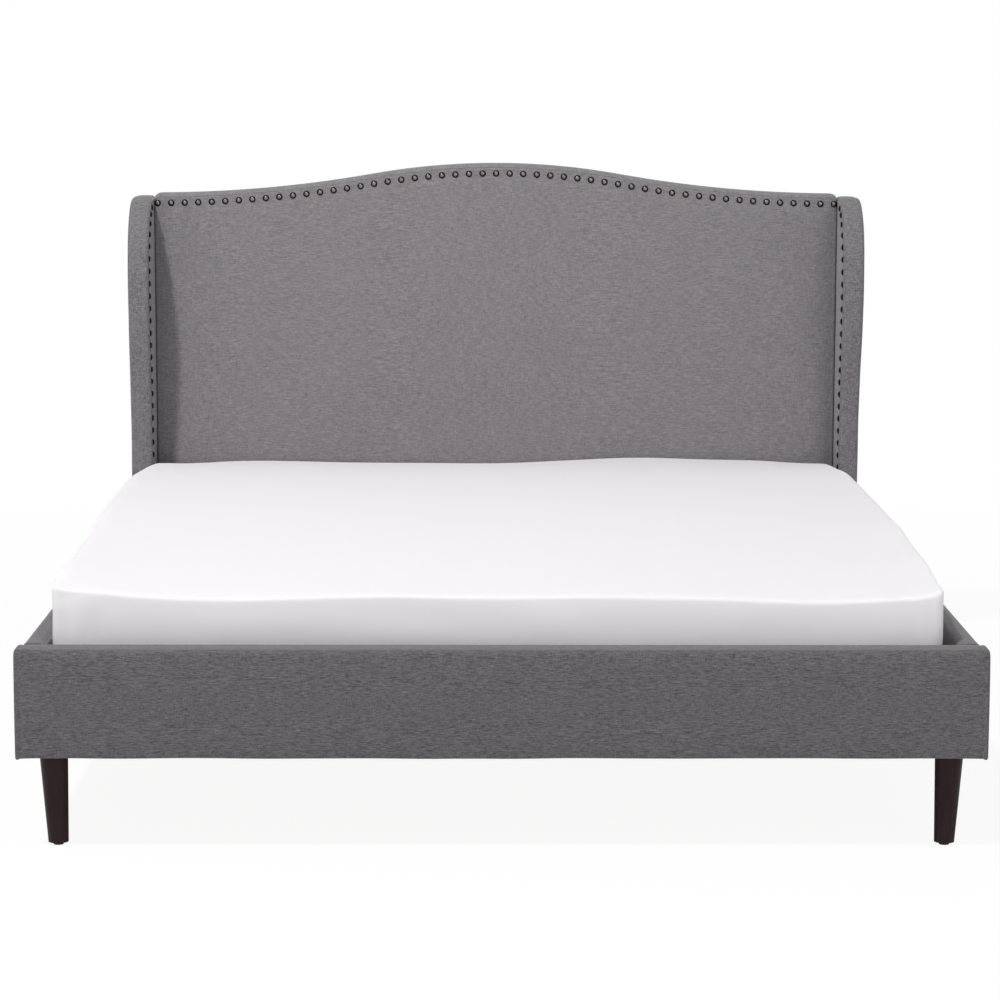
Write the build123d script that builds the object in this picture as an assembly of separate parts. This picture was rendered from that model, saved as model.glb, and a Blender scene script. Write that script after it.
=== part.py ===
from build123d import *
import math
import os

os.makedirs("parts", exist_ok=True)

# An upholstered double bed in millimetres. X is across the bed, +Y runs to the headboard, +Z is up.
# The origin is on the floor, in the middle of the bed's length and width.

# The mattress and the room left round it
mattress_width = 1600.0
mattress_length = 2000.0
mattress_thickness = 202.0
mattress_cross_crown = 10.0
mattress_long_crown = 42.0
mattress_belly = 4.0
mattress_front_corner = 14.0
mattress_rear_corner = 80.0
mattress_edge_radius = 24.0
mattress_shift = -3.0
sheet_thickness = 2.0
sheet_clearance = 0.3
sheet_hem = 45.0
side_gap = 18.0
foot_gap = 10.0
head_gap = 5.0
slat_to_mattress = 0.3

# The outside of the frame
leg_space = 168.0
rail_height = 198.0
rail_thickness = 46.0
footboard_thickness = 70.0
footboard_overhang = 2.0
headboard_thickness = 72.0
headboard_height = 1161.0
camel_rise = 72.0
crown_arc_share = 0.36
panel_crown = 8.0
panel_to_wing = 0.3

# The wings: how far each stands out from the panel's front, at which height, and the board inside
wing_drop = 8.0
wing_top_reach = 10.0
wing_full_reach = 141.0
wing_low_reach = 103.0
wing_nose_height = 166.0
wing_low_height = 440.0
wing_swell_share = 0.45
wing_board_thickness = 19.0

# Fabric, foam and the edges they round
cover_thickness = 1.5
back_cloth_thickness = 1.5
back_cloth_clearance = 0.5
cover_turn = 30.0
hem_turn = 10.0
outer_foam = 10.0
inner_foam = 5.0
top_foam = 10.0
panel_top_foam = 6.0
wing_foam = 14.0
foam_clearance = 0.2
padded_edge_radius = 12.0
hem_edge_radius = 3.0
padded_belly = 2.5
panel_edge_radius = 13.0
wing_edge_radius = 10.0

# Timber inside the headboard
headboard_timber = 38.0
face_board_thickness = 6.0
stile_width = 70.0
mid_stile_width = 60.0
bottom_rail_height = 110.0
top_rail_height = 90.0

# Slats, the holders at their ends and what carries them
slat_count = 14
slat_width = 63.0
slat_thickness = 8.0
slat_camber = 10.0
slat_end_margin = 55.0
slat_clearance = 0.2
holder_length = 26.0
holder_wall = 3.0
holder_base = 3.0
holder_height = 15.0
ledge_above_bracket = 14.0
ledge_width = 32.0
ledge_height = 30.0
ledge_screw_count = 6
ledge_screw_margin = 80.0
ledge_end_gap = 65.0
beam_width = 60.0
beam_height = 50.0
beam_end_clearance = 0.3

# Legs and their fittings
leg_top_radius = 25.5
leg_bottom_radius = 18.2
leg_bolt_inset = 14.5
leg_lean = 6.0
front_bolt_edge = 1.3
centre_leg_radius = 21.0
centre_leg_shares = (0.45, 0.77)
glide_height = 5.0
glide_radius = 9.0
glide_spigot_radius = 2.5
glide_spigot_length = 16.0
plate_side = 52.0
plate_thickness = 2.5
plate_edge = 1.0
centre_plate_side = 54.0
leg_bolt_rise = 34.0
leg_bolt_sink = 40.0

# Steel brackets, bolts and screws
bracket_thickness = 3.0
bracket_height = 46.0
bracket_arm = 62.0
bracket_lift = 8.0
bracket_bolt_margin = 16.0
joining_plate_length = 120.0
beam_bracket_flange = 12.7
beam_bracket_drop = 24.0
beam_bracket_seat = 40.0
bolt_radius = 4.0
bolt_head_radius = 7.5
bolt_head_height = 4.0
bolt_clearance = 0.2
insert_wall = 2.0
insert_length = 13.0
bolt_bite = 19.5
wing_bolt_heights_shares = (0.2, 0.5, 0.78)
screw_radius = 2.2
screw_head_radius = 4.2
screw_head_height = 2.4
screw_bite = 20.0

# Upholstery nails
nail_head_radius = 8.0
nail_head_height = 4.5
nail_shank_radius = 1.0
nail_bite = 3.0
panel_nail_count = 51
panel_nail_end = 9.0
panel_nail_drop = 24.0
wing_nail_inset = 18.0
wing_nail_pitch = 29.5
wing_nail_start = 34.0
wing_nail_stop = 20.0

overrun = 5.0

# Places that follow from those sizes
inner_half = mattress_width / 2 + sheet_thickness + side_gap
rail_outer = inner_half + rail_thickness
wing_thickness = wing_board_thickness + 2 * (wing_foam + cover_thickness)
outer_half = inner_half + wing_thickness
foot_half = rail_outer + footboard_overhang
inner_length = foot_gap + mattress_length + 2 * sheet_thickness + head_gap
overall_length = footboard_thickness + inner_length + headboard_thickness
foot_front = -overall_length / 2
foot_rear = foot_front + footboard_thickness
panel_front = foot_rear + inner_length
head_back = panel_front + headboard_thickness
rail_top = leg_space + rail_height
wing_front = panel_front - wing_low_reach
wing_top = headboard_height - camel_rise - wing_drop
wing_full_height = wing_top - wing_nose_height
panel_half = inner_half - panel_to_wing
timber_back = head_back - back_cloth_thickness
timber_front = timber_back - headboard_timber
board_front = timber_front - face_board_thickness
bracket_low = leg_space + bracket_lift
bracket_middle = bracket_low + bracket_height / 2
ledge_top = bracket_low + bracket_height + ledge_above_bracket + ledge_height
slat_seat = ledge_top + holder_base
mattress_bottom = slat_seat + slat_thickness + slat_camber + slat_to_mattress
mattress_front = foot_rear + foot_gap + sheet_thickness
wing_board_low = inner_half + cover_thickness + wing_foam
wing_board_high = wing_board_low + wing_board_thickness
beam_bottom = ledge_top - beam_height

# The headboard's top line: one arc up over the middle and one arc down to each wing, tangent to it
camel_angle = 2 * math.atan(camel_rise / inner_half)
camel_radii = inner_half / math.sin(camel_angle)
crown_arc = camel_radii * crown_arc_share
shoulder_arc = camel_radii - crown_arc
crown_centre = headboard_height - crown_arc
shoulder_centre = headboard_height - camel_rise + shoulder_arc

# The wing's front line below its fullest height: an arc that swells and one that hollows, tangent to it
swell_angle = 2 * math.atan((wing_full_reach - wing_low_reach) / (wing_full_height - wing_low_height))
swell_radii = (wing_full_height - wing_low_height) / math.sin(swell_angle)
swell_arc = swell_radii * wing_swell_share
hollow_arc = swell_radii - swell_arc


def save(shape, name):
    """Writes one sub-part to its own file."""
    export_step(shape, "parts/" + name + ".step")


def block(x, y, z):
    """A box between the low and high values of x, y and z."""
    size = Box(x[1] - x[0], y[1] - y[0], z[1] - z[0])
    return Pos((x[0] + x[1]) / 2, (y[0] + y[1]) / 2, (z[0] + z[1]) / 2) * size


def rod(start, direction, radius, length):
    """A round bar from a start point along a direction."""
    return Part() + Solid.make_cylinder(radius, length, Plane(origin=start, z_dir=direction))


def cut_all(body, tools):
    """The body with each tool cut from it."""
    for tool in tools:
        body = body - tool
    return body


def group(shapes):
    """Separate solids kept together as one sub-part."""
    return Compound(children=[solid for shape in shapes for solid in shape.solids()])


def mirrored(shape):
    """The same piece on the bed's other side."""
    return mirror(shape, about=Plane.YZ)


def both_sides(shapes):
    """Pieces on the left and their mirror images on the right."""
    return list(shapes) + [mirrored(shape) for shape in shapes]


def save_pair(right, name):
    """Writes a right-hand sub-part and its mirror image on the left."""
    save(right, "right_" + name)
    save(mirrored(right), "left_" + name)


# Mattress and fitted sheet


def end_profile(half, low, high, crown, belly, edge):
    """A mattress seen end on: bellied sides, a crowned top and rounded edges."""
    middle = (low + high) / 2
    side = half - belly
    top_edge = high - crown
    outline = [
        Line((-side, low), (side, low)),
        ThreePointArc((side, low), (half, middle), (side, top_edge)),
        ThreePointArc((side, top_edge), (0, high), (-side, top_edge)),
        ThreePointArc((-side, top_edge), (-half, middle), (-side, low)),
    ]
    face = make_face(outline)
    return fillet(face.vertices(), edge)


def mattress_form(grow):
    """The mattress's outer form, grown all round by the thickness of what wraps it."""
    half_w = mattress_width / 2 + grow
    half_l = mattress_length / 2 + grow
    low = mattress_bottom - grow
    high = mattress_bottom + mattress_thickness + grow
    edge = mattress_edge_radius + grow
    across = end_profile(half_w, low, high, mattress_cross_crown, mattress_belly, edge)
    along = end_profile(half_l, low, high, mattress_long_crown, mattress_belly, edge)
    side_view = extrude(Plane.XZ * across, amount=half_l + overrun, both=True)
    end_view = extrude(Plane.YZ * along, amount=half_w + overrun, both=True)
    outline = Rectangle(2 * half_w, 2 * half_l)
    outline = fillet(outline.vertices().group_by(Axis.Y)[0], mattress_front_corner + grow)
    outline = fillet(outline.vertices().group_by(Axis.Y)[-1], mattress_rear_corner + grow)
    plan = extrude(outline, amount=high + overrun)
    form = side_view & end_view & plan
    return Pos(mattress_shift, mattress_front + mattress_length / 2, 0) * form


def fitted_sheet():
    """A thin sheet over the mattress, turned in below it by the hem."""
    sheet = mattress_form(sheet_thickness) - mattress_form(sheet_clearance)
    half_w = mattress_width / 2 - sheet_hem
    low_y = mattress_front + sheet_hem
    high_y = mattress_front + mattress_length - sheet_hem
    window = block(
        (mattress_shift - half_w, mattress_shift + half_w),
        (low_y, high_y),
        (mattress_bottom - 2 * sheet_thickness, mattress_bottom + sheet_thickness),
    )
    return sheet - window


# Side rails and footboard: a timber core in foam under a fabric cover


def padded_section(thickness, inset):
    """A padded board's section: the outer side at x = 0 is slightly bellied, the top is well rounded."""
    outer = inset
    inner = thickness - inset
    low = leg_space + inset
    high = rail_top - inset
    shoulder = outer + padded_belly
    outline = [
        ThreePointArc((shoulder, low), (outer, (low + high) / 2), (shoulder, high)),
        Line((shoulder, high), (inner, high)),
        Line((inner, high), (inner, low)),
        Line((inner, low), (shoulder, low)),
    ]
    face = make_face(outline)
    upper = face.vertices().group_by(Axis.Y)[-1]
    face = fillet(upper, padded_edge_radius - inset)
    lower = face.vertices().group_by(Axis.Y)[0]
    return fillet(lower, hem_edge_radius - inset)


def rail_form(inset):
    """The left side rail's outer form from the footboard to the wing."""
    face = Plane.XZ * (Pos(-rail_outer, 0, 0) * padded_section(rail_thickness, inset))
    return extrude(Pos(0, wing_front, 0) * face, amount=wing_front - foot_rear)


def foot_form(inset):
    """The footboard's outer form, with rounded ends."""
    face = Plane.YZ * (Pos(foot_front, 0, 0) * padded_section(footboard_thickness, inset))
    body = extrude(face, amount=foot_half - inset, both=True)
    ends = body.faces().sort_by(Axis.X)
    middle_z = leg_space + rail_height / 2
    edges = [
        edge
        for face in (ends[0], ends[-1])
        for edge in face.edges()
        if edge.center().Z > middle_z - overrun
    ]
    return fillet(edges, padded_edge_radius / 2 - inset)


def rail_core_box():
    """The low and high values of the left rail's timber core."""
    x = (-rail_outer + cover_thickness + outer_foam, -inner_half - cover_thickness - inner_foam)
    z = (leg_space + cover_thickness, rail_top - cover_thickness - top_foam)
    return x, (foot_rear, wing_front), z


def foot_core_box():
    """The low and high values of the footboard's timber core."""
    half = foot_half - cover_thickness - outer_foam
    y = (foot_front + cover_thickness + outer_foam, foot_rear - cover_thickness - inner_foam)
    z = (leg_space + cover_thickness, rail_top - cover_thickness - top_foam)
    return (-half, half), y, z


def grown(box, by):
    """A box's low and high values, each moved out by one clearance."""
    return [(low - by, high + by) for low, high in box]


def hem_window(x, y):
    """The opening left in a cover's underside inside its turned and stapled hem."""
    return block(x, y, (leg_space - overrun, leg_space + cover_thickness + foam_clearance))


def rail_foam(core_box):
    """Foam round the rail's timber, open below where the cover is stapled."""
    x, y, z = grown(core_box, foam_clearance)
    room = block(x, (y[0] - overrun, y[1] + overrun), (leg_space - overrun, z[1]))
    return rail_form(cover_thickness + foam_clearance) - room


def rail_cover():
    """The rail's fabric: a sleeve open at both ends, with a hem below."""
    inner = rail_form(cover_thickness)
    window = hem_window(
        (-rail_outer + hem_turn, -inner_half - hem_turn), (foot_rear - overrun, wing_front + overrun)
    )
    return rail_form(0) - inner - window


def foot_foam(core_box):
    """Foam round the footboard's timber, open below."""
    x, y, z = grown(core_box, foam_clearance)
    room = block(x, y, (leg_space - overrun, z[1]))
    return foot_form(cover_thickness + foam_clearance) - room


def foot_cover():
    """The footboard's fabric: closed at both ends, with a hem below."""
    window = hem_window(
        (-foot_half + hem_turn, foot_half - hem_turn), (foot_front + hem_turn, foot_rear - hem_turn)
    )
    return foot_form(0) - foot_form(cover_thickness) - window


# Headboard panel


def camel_height(x):
    """The height of the headboard's top line at a place across the bed."""
    across = abs(x)
    if across < crown_arc * math.sin(camel_angle):
        return crown_centre + math.sqrt(crown_arc**2 - across**2)
    return shoulder_centre - math.sqrt(shoulder_arc**2 - (inner_half - across) ** 2)


def camel_plate(inset, half, low, y):
    """A plate under the headboard's top line, inset from it, from one y to another."""
    crown = crown_arc - inset
    shoulder = shoulder_arc + inset
    half_angle = camel_angle / 2
    joint = (crown * math.sin(camel_angle), crown_centre + crown * math.cos(camel_angle))
    middle = (
        inner_half - shoulder * math.sin(half_angle),
        shoulder_centre - shoulder * math.cos(half_angle),
    )
    end = (inner_half, shoulder_centre - shoulder)
    outline = [
        ThreePointArc(end, middle, joint),
        ThreePointArc(joint, (0, headboard_height - inset), (-joint[0], joint[1])),
        ThreePointArc((-joint[0], joint[1]), (-middle[0], middle[1]), (-end[0], end[1])),
        Line((-end[0], end[1]), (-inner_half, low)),
        Line((-inner_half, low), (inner_half, low)),
        Line((inner_half, low), end),
    ]
    face = Pos(0, y[1], 0) * (Plane.XZ * make_face(outline))
    plate = extrude(face, amount=y[1] - y[0])
    return plate & block((-half, half), y, (low, headboard_height))


def crown_front(x):
    """The y of the panel's crowned front at a place across the bed."""
    radius = (panel_half**2 + panel_crown**2) / (2 * panel_crown)
    return panel_front + radius - math.sqrt(radius**2 - x**2)


def crown_room(inset):
    """Everything behind the panel's crowned front, as a tall block with a bowed front face."""
    edge = panel_front + panel_crown + inset
    back = head_back + overrun
    outline = [
        ThreePointArc((-panel_half, edge), (0, panel_front + inset), (panel_half, edge)),
        Line((panel_half, edge), (panel_half, back)),
        Line((panel_half, back), (-panel_half, back)),
        Line((-panel_half, back), (-panel_half, edge)),
    ]
    return extrude(make_face(outline), amount=headboard_height + overrun)


def panel_form(inset, back):
    """The headboard panel's outer form: camel-backed, crowned in front and rounded at its front edges."""
    plate = camel_plate(inset, panel_half - inset, leg_space, (panel_front, back))
    form = plate & crown_room(inset)
    front = form.faces().sort_by(Axis.Y)[0]
    edges = [edge for edge in front.edges() if edge.center().Z > leg_space + overrun]
    return fillet(edges, panel_edge_radius - inset)


def panel_cover():
    """The panel's fabric, turned over the top and sides and round to the back."""
    inner = panel_form(cover_thickness, head_back - cover_thickness)
    below = camel_plate(
        cover_thickness, panel_half - cover_thickness, leg_space - overrun, (board_front, timber_back)
    )
    opening = camel_plate(
        cover_turn, panel_half - cover_turn, leg_space - overrun, (timber_front, head_back + overrun)
    )
    return panel_form(0, head_back) - inner - below - opening


def panel_frame_room(clearance):
    """The space of the headboard's timber and face board under the foam."""
    inset = cover_thickness + panel_top_foam - clearance
    half = panel_half - cover_thickness - foam_clearance + clearance
    return camel_plate(inset, half, leg_space - overrun, (board_front - clearance, timber_back + overrun))


def panel_foam():
    """Foam over the panel's front and its top edge."""
    form = panel_form(cover_thickness + foam_clearance, timber_back - foam_clearance)
    return form - panel_frame_room(foam_clearance)


def timber_piece(x, z):
    """A piece of the headboard's timber frame, cut to the top line where it reaches it."""
    inset = cover_thickness + panel_top_foam
    half = panel_half - cover_thickness - foam_clearance
    room = camel_plate(inset, half, leg_space, (timber_front, timber_back))
    return room & block(x, (timber_front, timber_back), z)


def top_rail(half):
    """The curved top rail between the stiles."""
    inset = cover_thickness + panel_top_foam
    y = (timber_front, timber_back)
    outer = camel_plate(inset, half, leg_space, y)
    return outer - camel_plate(inset + top_rail_height, half, leg_space - overrun, y)


def face_board():
    """The board that closes the timber frame's front and backs the foam."""
    inset = cover_thickness + panel_top_foam
    half = panel_half - cover_thickness - foam_clearance
    return camel_plate(inset, half, leg_space, (board_front, timber_front))


def back_cloth():
    """The thin cloth stapled over the headboard's open back."""
    inset = cover_turn + back_cloth_clearance
    return camel_plate(inset, panel_half - inset, leg_space, (timber_back, head_back))


# Wings


def wing_outline(inset, back):
    """A wing seen from the side, as edges from its back round the top and down its front."""
    top = wing_top - inset
    shoulder = panel_front - wing_top_reach
    full = panel_front - wing_full_reach + inset
    low = panel_front - wing_low_reach + inset
    swell = swell_arc - inset
    hollow = hollow_arc + inset
    swell_centre = panel_front - wing_full_reach + swell_arc
    hollow_centre = panel_front - wing_low_reach - hollow_arc
    half_angle = swell_angle / 2
    joint = (
        swell_centre - swell * math.cos(swell_angle),
        wing_full_height - swell * math.sin(swell_angle),
    )
    swell_middle = (
        swell_centre - swell * math.cos(half_angle),
        wing_full_height - swell * math.sin(half_angle),
    )
    hollow_middle = (
        hollow_centre + hollow * math.cos(half_angle),
        wing_low_height + hollow * math.sin(half_angle),
    )
    nose = EllipticalCenterArc(
        (shoulder, wing_full_height), shoulder - full, top - wing_full_height, 90, arc_size=90
    )
    front = [
        nose,
        ThreePointArc((full, wing_full_height), swell_middle, joint),
        ThreePointArc(joint, hollow_middle, (low, wing_low_height)),
        Line((low, wing_low_height), (low, leg_space)),
    ]
    rest = [
        Line((low, leg_space), (back, leg_space)),
        Line((back, leg_space), (back, top)),
        Line((back, top), (shoulder, top)),
    ]
    return front, rest


def wing_plate(inset, back, x):
    """A plate of the wing's side outline between two values of x on the right."""
    front, rest = wing_outline(inset, back)
    face = Plane.YZ * make_face(front + rest)
    return extrude(Pos(x[0], 0, 0) * face, amount=x[1] - x[0])


def wing_form(inset):
    """The right wing's outer form with rounded top and front edges."""
    x = (inner_half + inset, outer_half - inset)
    body = wing_plate(inset, head_back - inset, x)
    sides = body.faces().filter_by(Plane.YZ)
    edges = [
        edge
        for face in sides
        for edge in face.edges()
        if edge.center().Z > leg_space + overrun and edge.center().Y < head_back - overrun - inset
    ]
    return fillet(edges, wing_edge_radius - inset)


def wing_board():
    """The right wing's plywood core."""
    inset = cover_thickness + wing_foam
    return wing_plate(inset, head_back - cover_thickness, (wing_board_low, wing_board_high))


def wing_padding():
    """Foam on both faces, the top and the front edge of the right wing's core."""
    inset = cover_thickness + wing_foam - foam_clearance
    x = (wing_board_low - foam_clearance, wing_board_high + foam_clearance)
    room = wing_plate(inset, head_back + overrun, x)
    below = Pos(0, 0, -overrun) * room
    return wing_form(cover_thickness + foam_clearance) - room - below


def wing_cover():
    """The right wing's fabric, open below."""
    inner = wing_form(cover_thickness)
    x = (inner_half + cover_thickness, outer_half - cover_thickness)
    y = (wing_front + wing_edge_radius, head_back - cover_thickness)
    below = block(x, y, (leg_space - overrun, leg_space + overrun))
    return wing_form(0) - inner - below


# Upholstery nails


def nail(shank):
    """One domed nail with its head's back on the XZ plane, pointing along +Y."""
    dome_radius = (nail_head_radius**2 + nail_head_height**2) / (2 * nail_head_height)
    half_angle = math.asin(nail_head_radius / dome_radius) / 2
    centre = dome_radius - nail_head_height
    middle = (dome_radius * math.sin(half_angle), centre - dome_radius * math.cos(half_angle))
    outline = [
        Line((0, 0), (nail_head_radius, 0)),
        ThreePointArc((nail_head_radius, 0), middle, (0, -nail_head_height)),
        Line((0, -nail_head_height), (0, 0)),
    ]
    dome = revolve(make_face(outline), Axis.Y)
    return dome + rod((0, 0, 0), (0, 1, 0), nail_shank_radius, shank)


def panel_nails():
    """The row of nails below the headboard's top line."""
    reach = panel_half - panel_nail_end
    step = 2 * reach / (panel_nail_count - 1)
    nails = []
    for i in range(panel_nail_count):
        x = -reach + i * step
        y = crown_front(x)
        shank = board_front - y + nail_bite
        nails.append(Pos(x, y, camel_height(x) - panel_nail_drop) * nail(shank))
    return group(nails)


def wing_nails():
    """The row of nails down the inner side of the right wing, along its front line."""
    front, rest = wing_outline(wing_nail_inset, head_back)
    line = Wire(front)
    shank = cover_thickness + wing_foam + nail_bite
    single = Rot(0, 0, -90) * nail(shank)
    nails = []
    along = wing_nail_start
    while along < line.length:
        spot = line.position_at(along, position_mode=PositionMode.LENGTH)
        if spot.Y < rail_top + wing_nail_stop:
            break
        nails.append(Pos(inner_half, spot.X, spot.Y) * single)
        along += wing_nail_pitch
    return group(nails)


# Slats and what carries them


def slat_band(outer, inner, thickness, base, y):
    """A bowed slat on the right between two values of x, from one y to another."""
    middle = (outer + inner) / 2
    high = base + thickness
    outline = [
        ThreePointArc((inner, base), (middle, base + slat_camber), (outer, base)),
        Line((outer, base), (outer, high)),
        ThreePointArc((outer, high), (middle, high + slat_camber), (inner, high)),
        Line((inner, high), (inner, base)),
    ]
    face = Pos(0, y[1], 0) * (Plane.XZ * make_face(outline))
    return extrude(face, amount=y[1] - y[0])


def slat_places():
    """The y of each slat's front edge, spread evenly under the mattress."""
    first = mattress_front + slat_end_margin
    last = mattress_front + mattress_length - slat_end_margin - slat_width
    step = (last - first) / (slat_count - 1)
    return [first + i * step for i in range(slat_count)]


slat_inner = holder_wall
slat_outer = inner_half - holder_wall


def slat_row():
    """The bowed slats of the bed's right half."""
    return [
        slat_band(slat_outer, slat_inner, slat_thickness, slat_seat, (y, y + slat_width))
        for y in slat_places()
    ]


def holder(x, y):
    """A plastic holder round slat ends between two values of x, with a pocket for each slat."""
    width = (y - holder_wall, y + slat_width + holder_wall)
    body = block(x, width, (ledge_top, ledge_top + holder_height))
    pocket = slat_band(
        slat_outer + slat_clearance,
        slat_inner - slat_clearance,
        slat_thickness + 2 * slat_clearance,
        slat_seat - slat_clearance,
        (y - slat_clearance, y + slat_width + slat_clearance),
    )
    return body - pocket - mirrored(pocket)


def side_holders():
    """Holders on the right ledge, one for each slat's outer end."""
    return [holder((inner_half - holder_length, inner_half), y) for y in slat_places()]


def centre_holders():
    """Double holders on the centre beam, where the slats of both halves meet."""
    return [holder((-holder_length, holder_length), y) for y in slat_places()]


def ledge():
    """The timber ledge screwed to the right rail's inner side. It runs on beside the wing."""
    z = (ledge_top - ledge_height, ledge_top)
    y = (foot_rear, panel_front - ledge_end_gap)
    return block((inner_half - ledge_width, inner_half), y, z)


def ledge_screw_places():
    """Where screws enter the right ledge's inner side."""
    step = (wing_front - foot_rear - 2 * ledge_screw_margin) / (ledge_screw_count - 1)
    first = foot_rear + ledge_screw_margin
    z = ledge_top - ledge_height / 2
    return [(inner_half - ledge_width, first + i * step, z) for i in range(ledge_screw_count)]


def screw(place, direction, length):
    """A screw whose head bears at a place, driven along a direction."""
    back = tuple(-d for d in direction)
    head = rod(place, back, screw_head_radius, screw_head_height)
    return rod(place, direction, screw_radius, length) + head


def ledge_screws():
    """Screws through the right ledge into the rail's core."""
    length = ledge_width + cover_thickness + inner_foam + screw_bite
    return [screw(place, (1, 0, 0), length) for place in ledge_screw_places()]


def ledge_screw_holes():
    """The clearance holes for those screws in the ledge."""
    radius = screw_radius + bolt_clearance
    return [rod(place, (1, 0, 0), radius, ledge_width) for place in ledge_screw_places()]


saddle_rear = panel_front - beam_end_clearance
beam_front = foot_rear + bracket_thickness + beam_end_clearance
beam_rear = saddle_rear - bracket_thickness - beam_end_clearance


def centre_beam():
    """The timber beam from the footboard to the headboard under the slats' inner ends."""
    half = beam_width / 2
    return block((-half, half), (beam_front, beam_rear), (beam_bottom, ledge_top))


def beam_bracket(face_y, inward):
    """A steel saddle at one end of the beam: a back plate, a seat below and two cheeks."""
    inner = beam_width / 2 + beam_end_clearance
    half = inner + bracket_thickness + beam_bracket_flange
    plate_far = face_y + inward * bracket_thickness
    seat_far = face_y + inward * beam_bracket_seat
    low = beam_bottom - bracket_thickness - beam_end_clearance
    plate_y = sorted((face_y, plate_far))
    seat_y = sorted((face_y, seat_far))
    saddle = block((-half, half), plate_y, (low, ledge_top))
    saddle = saddle + block((-half, half), seat_y, (low, low + bracket_thickness))
    for side in (-1, 1):
        x = sorted((side * inner, side * (inner + bracket_thickness)))
        saddle = saddle + block(x, seat_y, (low, ledge_top - beam_bracket_drop))
    return saddle


def saddle_screw_places(face_y, inward):
    """Where screws go through a saddle's back plate, outside its cheeks."""
    x = beam_width / 2 + beam_end_clearance + bracket_thickness + beam_bracket_flange / 2
    y = face_y + inward * bracket_thickness
    high = ledge_top - beam_bracket_drop / 2
    low = beam_bottom + beam_bracket_drop / 2
    return [(side * x, y, z) for side in (-1, 1) for z in (low, high)]


def saddle_holes(face_y, inward):
    """The clearance holes for a saddle's screws."""
    radius = screw_radius + bolt_clearance
    along = (0, -inward, 0)
    return [rod(place, along, radius, bracket_thickness) for place in saddle_screw_places(face_y, inward)]


def saddle_screws(face_y, inward, bite):
    """The screws that hold a saddle to the board behind it."""
    length = bracket_thickness + bite
    along = (0, -inward, 0)
    return [screw(place, along, length) for place in saddle_screw_places(face_y, inward)]


# Legs and their fittings


def glide(x, y):
    """A plastic glide under a leg, with a spigot up into it."""
    foot = rod((x, y, 0), (0, 0, 1), glide_radius, glide_height)
    return foot + rod((x, y, glide_height), (0, 0, 1), glide_spigot_radius, glide_spigot_length)


def leg(x, y):
    """A round tapered leg on the right. Its inner side is upright, so its top stands further out."""
    top = leg_space - plate_thickness
    lower = Pos(x, y, glide_height) * Circle(leg_bottom_radius)
    upper = Pos(x + leg_lean, y, top) * Circle(leg_top_radius)
    body = loft([lower, upper])
    spigot = rod(
        (x, y, glide_height - overrun),
        (0, 0, 1),
        glide_spigot_radius + bolt_clearance,
        glide_spigot_length + overrun,
    )
    bolt = rod(
        (x + leg_lean, y, top - leg_bolt_sink),
        (0, 0, 1),
        bolt_radius + bolt_clearance,
        leg_bolt_sink + overrun,
    )
    return body - spigot - bolt


def leg_plate(x, y, side, top):
    """A square steel plate above a leg, with the bolt's hole in its middle."""
    half = side / 2
    plate = block((x - half, x + half), (y - half, y + half), (top - plate_thickness, top))
    plate = fillet(plate.edges().filter_by(Axis.Z), padded_edge_radius / 2)
    hole = rod((x, y, top - overrun), (0, 0, 1), bolt_radius + bolt_clearance, 2 * overrun)
    return plate - hole


def leg_bolt(x, y, top, clearance=0.0):
    """The bolt from a leg up through its plate, or the hole that it needs."""
    start = top - plate_thickness - leg_bolt_sink + bolt_clearance
    length = leg_bolt_sink + plate_thickness + leg_bolt_rise
    return rod((x, y, start), (0, 0, 1), bolt_radius + clearance, length)


def centre_leg(y):
    """A straight turned leg under the centre beam."""
    top = beam_bottom - plate_thickness
    body = rod((0, y, glide_height), (0, 0, 1), centre_leg_radius, top - glide_height)
    spigot = rod(
        (0, y, glide_height - overrun),
        (0, 0, 1),
        glide_spigot_radius + bolt_clearance,
        glide_spigot_length + overrun,
    )
    bolt = rod(
        (0, y, top - leg_bolt_sink), (0, 0, 1), bolt_radius + bolt_clearance, leg_bolt_sink + overrun
    )
    return body - spigot - bolt


bolt_x = inner_half - leg_bolt_inset
leg_bottom_x = bolt_x - leg_lean
foot_core_rear = foot_rear - cover_thickness - inner_foam
front_leg_y = foot_core_rear - front_bolt_edge - bolt_radius - bolt_clearance
rear_leg_y = head_back - plate_edge - plate_side / 2
centre_leg_ys = [foot_front + share * overall_length for share in centre_leg_shares]


# Brackets, bolts and inserts


def corner_bracket():
    """The steel angle in the right front corner, on the rail's inner side and the footboard's rear."""
    z = (bracket_low, bracket_low + bracket_height)
    on_rail = block((inner_half - bracket_thickness, inner_half), (foot_rear, foot_rear + bracket_arm), z)
    on_foot = block((inner_half - bracket_arm, inner_half), (foot_rear, foot_rear + bracket_thickness), z)
    return on_rail + on_foot


def joining_plate():
    """The flat steel plate that ties the right rail to the wing."""
    z = (bracket_low, bracket_low + bracket_height)
    y = (wing_front - joining_plate_length / 2, wing_front + joining_plate_length / 2)
    return block((inner_half - bracket_thickness, inner_half), y, z)


def head_bolt(start, direction, length):
    """A bolt whose head bears on a bracket at its start."""
    shank = rod(start, direction, bolt_radius, length)
    back = [s - d * bolt_head_height for s, d in zip(start, direction)]
    return shank + rod(tuple(back), direction, bolt_head_radius, bolt_head_height)


def insert(start, direction):
    """A threaded insert round a bolt's end."""
    outer = rod(start, direction, bolt_radius + insert_wall, insert_length)
    return outer - rod(start, direction, bolt_radius + bolt_clearance, insert_length)


# Each bolt on the right is where it starts, its direction, its length and where its insert starts
rail_seat_x = inner_half + cover_thickness + inner_foam
rail_bolt_length = bracket_thickness + cover_thickness + inner_foam + bolt_bite
wing_plate_bolt_length = bracket_thickness + cover_thickness + wing_foam + insert_length
stile_inner = panel_half - cover_thickness - foam_clearance - stile_width
stile_bolt_length = wing_board_low + insert_length - stile_inner


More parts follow.
